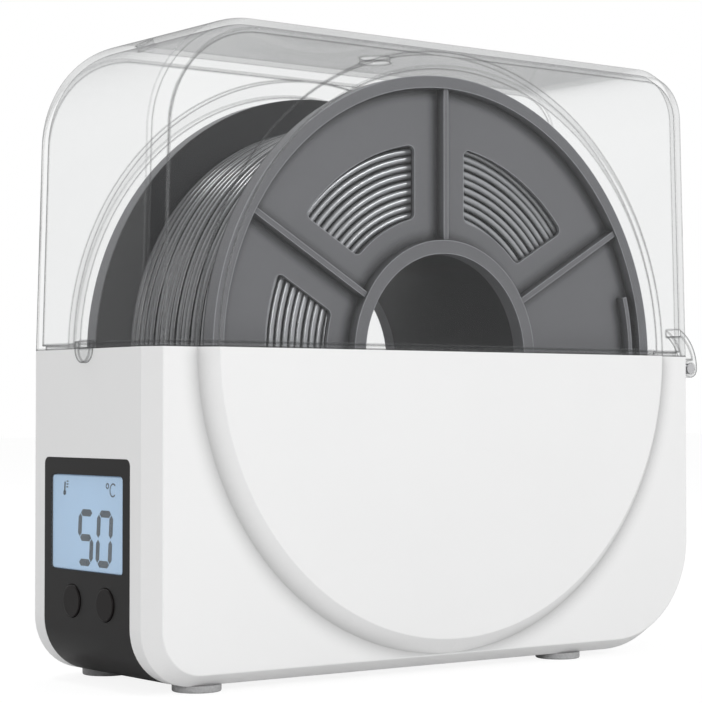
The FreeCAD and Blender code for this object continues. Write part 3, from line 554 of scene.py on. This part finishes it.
class DRYER_OT_works(bpy.types.Operator):
    """Finishes of the heater, rollers, inlet, board and other inner pieces"""
    bl_idname = "dryer.works"
    bl_label = "Inner works"

    def execute(self, context):
        steel = metal("turned_steel", (0.58, 0.58, 0.59), roughness=0.25, along=(1.0, 0.05, 1.0))
        dress(steel, "front_roller_axle", "rear_roller_axle", "base_screws", "board_screws",
              "cradle_screws", "dc_jack_nut")
        aluminium = metal("heater_aluminium", (0.8, 0.81, 0.82), roughness=0.3,
                          along=(0.04, 1.0, 0.04))
        dress(aluminium, "heater_plate")
        film = moulded("heating_film", (0.5, 0.24, 0.04), roughness=0.3, grain=0.8 * MM,
                       depth=0.02 * MM)
        dress(film, "heating_film")
        nylon = moulded("roller_nylon", (0.72, 0.72, 0.7), roughness=0.45, grain=0.8 * MM,
                        depth=0.02 * MM)
        dress(nylon, "front_roller_near", "front_roller_far", "rear_roller_near", "rear_roller_far")
        bronze = metal("bush_bronze", (0.55, 0.37, 0.19), roughness=0.4, along=(1.0, 1.0, 1.0))
        dress(bronze, "roller_bushings")
        black = moulded("inlet_black", (0.03, 0.03, 0.032), roughness=0.4, grain=0.5 * MM,
                        depth=0.02 * MM)
        dress(black, "dc_jack", "tact_switches")
        dress(circuit_board("solder_mask"), "control_board")
        white = moulded("backlight_white", (0.8, 0.85, 0.9), roughness=0.5, grain=0.7 * MM,
                        depth=0.01 * MM)
        dress(white, "lcd_backlight")
        epoxy = moulded("probe_epoxy", (0.05, 0.05, 0.055), roughness=0.2, grain=1 * MM,
                        depth=0.03 * MM)
        dress(epoxy, "thermistor")
        dress(rubber("lead_sleeve", (0.04, 0.04, 0.04)), "power_lead", "heater_lead", "sensor_lead")
        return {"FINISHED"}


class DRYER_OT_panel(bpy.types.Operator):
    """Finishes of the front panel and its keys"""
    bl_idname = "dryer.panel"
    bl_label = "Front panel"

    def execute(self, context):
        black = moulded("panel_black", tuple(settings("finish").black), roughness=0.4,
                        grain=0.5 * MM, depth=0.008 * MM, spread=0.08, gloss=0.14)
        dress(black, "front_panel")
        for node in ("button_left", "button_right"):
            dress(key_plastic(node + "_black", node), node)
        return {"FINISHED"}


SEGMENTS = {"0": "abcdef", "1": "bc", "2": "abged", "3": "abgcd", "4": "fgbc", "5": "afgcd",
            "6": "afgedc", "7": "abc", "8": "abcdefg", "9": "abfgcd"}
SEGMENT_ENDS = {"a": ((0, 2), (1, 2)), "b": ((1, 2), (1, 1)), "c": ((1, 1), (1, 0)),
                "d": ((0, 0), (1, 0)), "e": ((0, 1), (0, 0)), "f": ((0, 2), (0, 1)),
                "g": ((0, 1), (1, 1))}
BAR_CORNERS = 6


def arc_points(middle, radii, start, stop):
    """Nine points on an arc of an ellipse: the cosine and sine of an angle, times two radii."""
    angle = np.linspace(start, stop, 9)
    return np.array(middle) + np.stack([np.cos(angle), np.sin(angle)], axis=-1) * np.array(radii)


def pen_line(points, pen):
    """Short bars from point to point, each a quarter of the pen's width too long at both ends."""
    return [bar(p, q, pen, -pen / 4) for p, q in zip(points, points[1:])]


def bar(start, stop, width, gap):
    """Six-sided display bar between two points of the plane, pointed at both ends."""
    start, stop = np.array(start, float), np.array(stop, float)
    along = (stop - start) / np.linalg.norm(stop - start)
    side = np.array([-along[1], along[0]]) * width / 2
    start, stop = start + along * gap, stop - along * gap
    slope = along * width / 2
    return np.array([start, start + slope + side, stop - slope + side, stop, stop - slope - side,
                     start + slope - side])


def figure_bars(text, left, low, size, step, width, gap):
    """Display bars of a row of digits; size is the width and height of one digit."""
    scale = np.array([size[0], size[1] / 2])
    bars = []
    for place, digit in enumerate(text):
        corner = np.array([left + place * step, low])
        for name in SEGMENTS[digit]:
            start, stop = (np.array(end) * scale + corner for end in SEGMENT_ENDS[name])
            bars.append(bar(start, stop, width, gap))
    return bars


class DRYER_OT_display(bpy.types.Operator):
    """Backlit display, its figures and its lens"""
    bl_idname = "dryer.display"
    bl_label = "Display"

    figure_lift = 0.06 * MM
    lens_depth = 0.4 * MM
    film_depth = (0.5 * MM, 1.3 * MM)
    film_inset = 0.1 * MM
    bar_gap = 0.3 * MM
    slant = 0.07

    def execute(self, context):
        look = settings("display")
        lit = lit_display("lit_display")
        dress(lit, "lcd_display")
        ink = display_ink("display_ink")
        film_x = LENS_LOW[0] + self.film_depth[0]
        middle_y = (LENS_LOW[1] + LENS_HIGH[1]) / 2
        width, height = LENS_HIGH[1] - LENS_LOW[1], LENS_HIGH[2] - LENS_LOW[2]
        digit = (0.17 * width, 0.52 * height)
        bars = figure_bars(look.reading, left=0.38 * width, low=0.09 * height, size=digit,
                           step=0.26 * width, width=0.05 * width, gap=self.bar_gap)
        bars += self.degree_sign(left=0.74 * width, low=0.8 * height, size=0.075 * height)
        bars += self.thermometer(left=0.14 * width, low=0.81 * height, size=0.1 * height)
        self.flat_bars("display_figures", bars, film_x, middle_y + width / 2, LENS_LOW[2], ink)
        self.plate("display_film", self.film_depth, self.film_inset, lit, "lcd_glass")
        lens = self.plate("display_lens", (0.0, self.lens_depth), 0.0, clear_lens("clear_lens"),
                          "clear_lens")
        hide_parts("lcd_window")
        return {"FINISHED"}

    def degree_sign(self, left, low, size):
        """A small ring and a C, as short bars; lengths are shares of the sign's size."""
        ring = arc_points((left, low + 1.35 * size), (0.35 * size, 0.35 * size), 0, 2 * math.pi)
        letter = arc_points((left + 1.5 * size, low + 0.8 * size), (0.8 * size, 0.9 * size),
                            0.25 * math.pi, 1.75 * math.pi)
        pen = 0.22 * size
        return pen_line(ring, pen) + pen_line(letter, pen)

    def thermometer(self, left, low, size):
        """A plain thermometer sign: bulb, stem and three marks; lengths are shares of its size."""
        pen = 0.28 * size
        mark_pen = 0.14 * size
        bars = pen_line(arc_points((left, low), (0.2 * size, 0.2 * size), 0, 2 * math.pi), pen)
        bars.append(bar((left, low), (left, low + 1.2 * size), pen, 0.0))
        for rise in (0.6, 0.9, 1.2):
            level = low + rise * size
            bars.append(bar((left + 0.3 * size, level), (left + 0.75 * size, level), mark_pen, 0.0))
        return bars

    def flat_bars(self, name, bars, x, left_y, low_z, finish):
        """Thin bars just in front of the glass: each outline leans with its height, is set out to
        the reader's right, which is -Y, and is carried back by a part of its lift."""
        flat = np.array(bars)
        across = left_y - (flat[..., 0] + self.slant * (flat[..., 1] - flat[..., 1].min()))
        up = low_z + flat[..., 1]
        front = np.stack([np.full_like(up, x - self.figure_lift), across, up], axis=-1)
        back = front + np.array([0.6 * self.figure_lift, 0, 0])
        points = np.concatenate([front, back], axis=1).reshape(-1, 3)
        start = np.arange(len(bars))[:, None] * 2 * BAR_CORNERS
        i = np.arange(BAR_CORNERS)
        j = (i + 1) % BAR_CORNERS
        caps = np.concatenate([start + i[None, ::-1], start + BAR_CORNERS + i[None, :]])
        wall = np.stack([i, j, j + BAR_CORNERS, i + BAR_CORNERS], axis=-1)
        walls = (start[:, :, None] + wall[None]).reshape(-1, 4)
        faces = caps.tolist() + walls.tolist()
        add_mesh(name, points, faces, finish, "base", smooth=False)

    def plate(self, name, depths, inset, finish, slot):
        """Flat plate behind the window's front: a rounded rectangle, an angle's cosine and sine on
        four corner centres, carried back in steps, with its front edge drawn in."""
        corner = 1.5 * MM
        turn = np.linspace(0, 2 * np.pi, 48, endpoint=False)
        middle = (LENS_LOW + LENS_HIGH) / 2
        half = (LENS_HIGH - LENS_LOW) / 2
        pulled_in = np.array([0.2, 0.06, 0.0, 0.0]) * MM + inset
        back = depths[0] + np.array([0.0, 0.15, 0.5, 1.0]) * (depths[1] - depths[0])
        c, s = np.cos(turn)[None], np.sin(turn)[None]
        y = middle[1] + np.sign(c) * (half[1] - corner) + c * (corner - pulled_in[:, None])
        z = middle[2] + np.sign(s) * (half[2] - corner) + s * (corner - pulled_in[:, None])
        x = np.broadcast_to((LENS_LOW[0] + back)[:, None], y.shape)
        points = np.stack([x, y, z], axis=-1).reshape(-1, 3)
        walls = grid_faces(len(back), len(turn), close_columns=True)[:, ::-1]
        last = (len(back) - 1) * len(turn)
        caps = [list(range(len(turn))), list(range(last, last + len(turn)))[::-1]]
        return add_mesh(name, points, walls.tolist() + caps, finish, "base", smooth=False)


class DRYER_OT_spool(bpy.types.Operator):
    """Finish of the spool's two moulded halves"""
    bl_idname = "dryer.spool"
    bl_label = "Spool"

    def execute(self, context):
        dress(spool_plastic("spool_grey_plastic"), "spool_near_half", "spool_far_half")
        return {"FINISHED"}


class DRYER_OT_winding(bpy.types.Operator):
    """Wound filament: the outer turns, the layers seen through the flanges, and a drum under them"""
    bl_idname = "dryer.winding"
    bl_label = "Wound filament"

    sides = 10
    steps = 120
    drum_steps = 96
    drum_hub = 0.4
    layers_hub = 0.42

    def execute(self, context):
        size = settings("winding")
        # one filament in two copies: painted darker for the outer turns, painted lighter for the
        # layers seen through the flanges
        finish = filament_finish("silky_filament", 0.8)
        stacked = filament_finish("filament_painted_lighter", 1.6)
        radius = size.strand / 2
        outer = self.outer_layer(size, finish, radius)
        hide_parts("filament_winding")
        # painted shade: a near-black drum under the outer turns, standing in for the shade beneath
        # them
        shadowed = moulded("filament_painted_shade", shade(settings("finish").filament, 0.1), roughness=0.6,
                           grain=1.5 * MM, depth=0.02 * MM, spread=0.2, gloss=0.1)
        drum = self.drum(shadowed, radius)
        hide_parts("filament_core")
        for name, side in (("near", -1), ("far", 1)):
            self.side_layers("filament_" + name + "_side", side, stacked, radius)
        return {"FINISHED"}

    def strays(self, turn, seed, count, size):
        """Slow wander along a winding: a sum of sines of fixed, unrelated rates and starts."""
        slowest, fastest, spread = 0.15, 1.9, 17.0
        draws = np.random.default_rng(seed).uniform(slowest, fastest, (count, 2))
        waves = np.sin(turn[:, None] * draws[:, 0] + draws[:, 1] * spread)
        return waves.sum(axis=1) * size / math.sqrt(count)

    def outer_layer(self, size, finish, radius):
        """Helix side by side across the drum: radius and pitch wander slowly from turn to turn."""
        reach = CORE_HIGH[1] - radius
        turns = size.turns
        turn = np.linspace(0, 2 * np.pi * turns, turns * self.steps + 1)
        y = np.linspace(-reach, reach, len(turn))
        calm = np.sin(np.linspace(0, np.pi, len(turn))) ** 0.3
        y = y + self.strays(turn, seed=3, count=9, size=size.wander) * calm
        sunk = np.abs(self.strays(turn, seed=5, count=7, size=0.3 * MM))
        r = WOUND_RADIUS - radius - sunk
        path = np.stack([SPOOL_X + r * np.cos(turn), y, SPOOL_Z + r * np.sin(turn)], axis=-1)
        points, faces = tube(path, radius, self.sides)
        made = add_mesh("filament_outer_layer", points, faces, finish, "spool")
        strand_uv(made, len(path), self.sides, 2 * np.pi * WOUND_RADIUS * turns, radius)
        return made

    def drum(self, finish, radius):
        """Plain drum of inner layers: a four-cornered profile, just under the strands, turned about
        the spool's axis."""
        hub = SPOOL_RADIUS * self.drum_hub
        top = WOUND_RADIUS - 2.2 * radius
        end = CORE_HIGH[1] - 1.6 * radius
        profile = np.array([[hub, -end], [top, -end], [top, end], [hub, end]])
        turn = np.linspace(0, 2 * np.pi, self.drum_steps, endpoint=False)
        r, y = profile[:, 0][:, None], profile[:, 1][:, None]
        x = SPOOL_X + r * np.cos(turn)
        z = SPOOL_Z + r * np.sin(turn)
        points = np.stack([x, np.broadcast_to(y, x.shape), z], axis=-1).reshape(-1, 3)
        faces = grid_faces(*x.shape, close_rows=True, close_columns=True)
        return add_mesh("filament_drum", points, faces, finish, "spool", smooth=False)

    def side_layers(self, name, side, finish, radius):
        """Flat spiral of stacked layers against a flange: radius grows by one strand a turn."""
        inner = SPOOL_RADIUS * self.layers_hub
        outer = WOUND_RADIUS - 2.4 * radius
        turns = (outer - inner) / (2.04 * radius)
        turn = np.linspace(0, 2 * np.pi * turns, int(turns * self.steps) + 1)
        unevenness = self.strays(turn, seed=11 + side, count=6, size=0.12 * MM)
        r = np.linspace(inner, outer, len(turn)) + unevenness
        sunk = np.abs(self.strays(turn, seed=21 + side, count=8, size=0.35 * MM))
        y = side * (CORE_HIGH[1] - radius - sunk)
        path = np.stack([SPOOL_X + r * np.cos(turn), y, SPOOL_Z + r * np.sin(turn)], axis=-1)
        points, faces = tube(path, radius, self.sides)
        made = add_mesh(name, points, faces, finish, "spool")
        strand_uv(made, len(path), self.sides, np.pi * (inner + outer) * turns, radius, -0.25 * side)


class DRYER_OT_stage(bpy.types.Operator):
    """Camera, pale floor and soft studio light"""
    bl_idname = "dryer.stage"
    bl_label = "Stage"

    floor_size = 12.0
    white = (1.0, 1.0, 1.0, 1.0)
    lamp_aim = (0.0, 0.0, 0.1)

    def execute(self, context):
        look = settings("stage")
        scene = context.scene
        scene.view_settings.view_transform = "Standard"
        self.camera(scene, look)
        self.world(scene, look)
        self.floor(scene)
        self.lamp(scene, "key_light", place=(1.1, -1.9, 1.2), size=0.8, power=12.0)
        self.lamp(scene, "front_light", place=(-1.0, -1.9, 0.85), size=1.0, power=12.5)
        self.lamp(scene, "top_light", place=(-0.4, 0.9, 1.9), size=0.5, power=10.0)
        return {"FINISHED"}

    def camera(self, scene, look):
        """Camera at its place, looking ahead by its turn about the upright and its tilt."""
        data = bpy.data.cameras.new("photo_camera")
        data.lens = look.lens
        data.sensor_width = 36.0
        data.sensor_fit = "HORIZONTAL"
        data.clip_start, data.clip_end = 0.01, 100.0
        made = bpy.data.objects.new("photo_camera", data)
        scene.collection.objects.link(made)
        turn, tilt = look.camera_turn, look.camera_tilt
        level = math.cos(tilt)
        ahead = Vector((-math.sin(turn) * level, math.cos(turn) * level, math.sin(tilt)))
        made.location = look.camera_place
        made.rotation_mode = "QUATERNION"
        made.rotation_quaternion = ahead.to_track_quat("-Z", "Y")
        scene.camera = made

    def world(self, scene, look):
        """White world: full white where it is seen, looked through to or mirrored, dimmer as light."""
        world = bpy.data.worlds.new("studio")
        world.use_nodes = True
        scene.world = world
        tree = world.node_tree
        light = tree.nodes["Background"]
        light.inputs["Color"].default_value = self.white
        light.inputs["Strength"].default_value = look.world_light
        seen = tree.nodes.new("ShaderNodeBackground")
        seen.inputs["Color"].default_value = self.white
        rays = tree.nodes.new("ShaderNodeLightPath")
        share = rays.outputs["Is Camera Ray"]
        for kind in ("Is Transmission Ray", "Is Glossy Ray"):
            either = tree.nodes.new("ShaderNodeMath")
            either.operation = "MAXIMUM"
            tree.links.new(share, either.inputs[0])
            tree.links.new(rays.outputs[kind], either.inputs[1])
            share = either.outputs[0]
        mix = tree.nodes.new("ShaderNodeMixShader")
        for socket, source in enumerate((share, light.outputs[0], seen.outputs[0])):
            tree.links.new(source, mix.inputs[socket])
        tree.links.new(mix.outputs[0], tree.nodes["World Output"].inputs["Surface"])

    def floor(self, scene):
        """Wide pale floor that glows a little to the camera, so that it fades into the background."""
        half = self.floor_size / 2
        mesh = bpy.data.meshes.new("studio_floor")
        corners = [(-half, -half, 0), (half, -half, 0), (half, half, 0), (-half, half, 0)]
        mesh.from_pydata(corners, [], [(0, 1, 2, 3)])
        made = bpy.data.objects.new("studio_floor", mesh)
        scene.collection.objects.link(made)
        finish = Finish("studio_floor", Base_Color=(0.85, 0.85, 0.85), Roughness=0.9)
        glow = finish.node("ShaderNodeEmission", {}, {"Strength": 1.1})
        rays = finish.node("ShaderNodeLightPath", {}, {})
        share = Value(finish, rays.outputs["Is Camera Ray"]) * 0.8
        mix = finish.node("ShaderNodeMixShader", {}, {
            0: share, 1: finish.shader.outputs[0], 2: glow.outputs[0]})
        finish.surface(mix.outputs[0])
        mesh.materials.append(finish.material)

    def lamp(self, scene, name, place, size, power):
        """Round area lamp, turned towards the middle of the box."""
        data = bpy.data.lights.new(name, "AREA")
        data.shape = "DISK"
        data.size = size
        data.energy = power
        made = bpy.data.objects.new(name, data)
        scene.collection.objects.link(made)
        made.location = place
        aim = Vector(self.lamp_aim) - Vector(place)
        made.rotation_mode = "QUATERNION"
        made.rotation_quaternion = aim.to_track_quat("-Z", "Y")


class DRYER_PT_panel(bpy.types.Panel):
    """Lists the pieces of the dryer box"""
    bl_idname = "DRYER_PT_panel"
    bl_label = "Dryer box"
    bl_space_type = "VIEW_3D"
    bl_region_type = "UI"
    bl_category = "Dryer"

    def draw(self, context):
        for kind in SETTINGS:
            group = getattr(context.scene, "dryer_" + kind)
            for name in group.__annotations__:
                self.layout.prop(group, name)
        for operator in OPERATORS:
            self.layout.operator(operator.bl_idname)


SETTINGS = {"finish": FinishSettings, "winding": WindingSettings, "display": DisplaySettings,
            "stage": StageSettings}
OPERATORS = (DRYER_OT_case, DRYER_OT_lid, DRYER_OT_works, DRYER_OT_panel, DRYER_OT_display,
             DRYER_OT_spool, DRYER_OT_winding, DRYER_OT_stage)


def register():
    for kind, group in SETTINGS.items():
        bpy.utils.register_class(group)
        setattr(bpy.types.Scene, "dryer_" + kind, bpy.props.PointerProperty(type=group))
    for operator in OPERATORS:
        bpy.utils.register_class(operator)
    bpy.utils.register_class(DRYER_PT_panel)


def unregister():
    bpy.utils.unregister_class(DRYER_PT_panel)
    for operator in reversed(OPERATORS):
        bpy.utils.unregister_class(operator)
    for kind, group in SETTINGS.items():
        delattr(bpy.types.Scene, "dryer_" + kind)
        bpy.utils.unregister_class(group)


def main():
    register()
    bpy.ops.dryer.case()
    bpy.ops.dryer.lid()
    bpy.ops.dryer.works()
    bpy.ops.dryer.panel()
    bpy.ops.dryer.display()
    bpy.ops.dryer.spool()
    bpy.ops.dryer.winding()
    bpy.ops.dryer.stage()


if __name__ == "__main__":
    main()
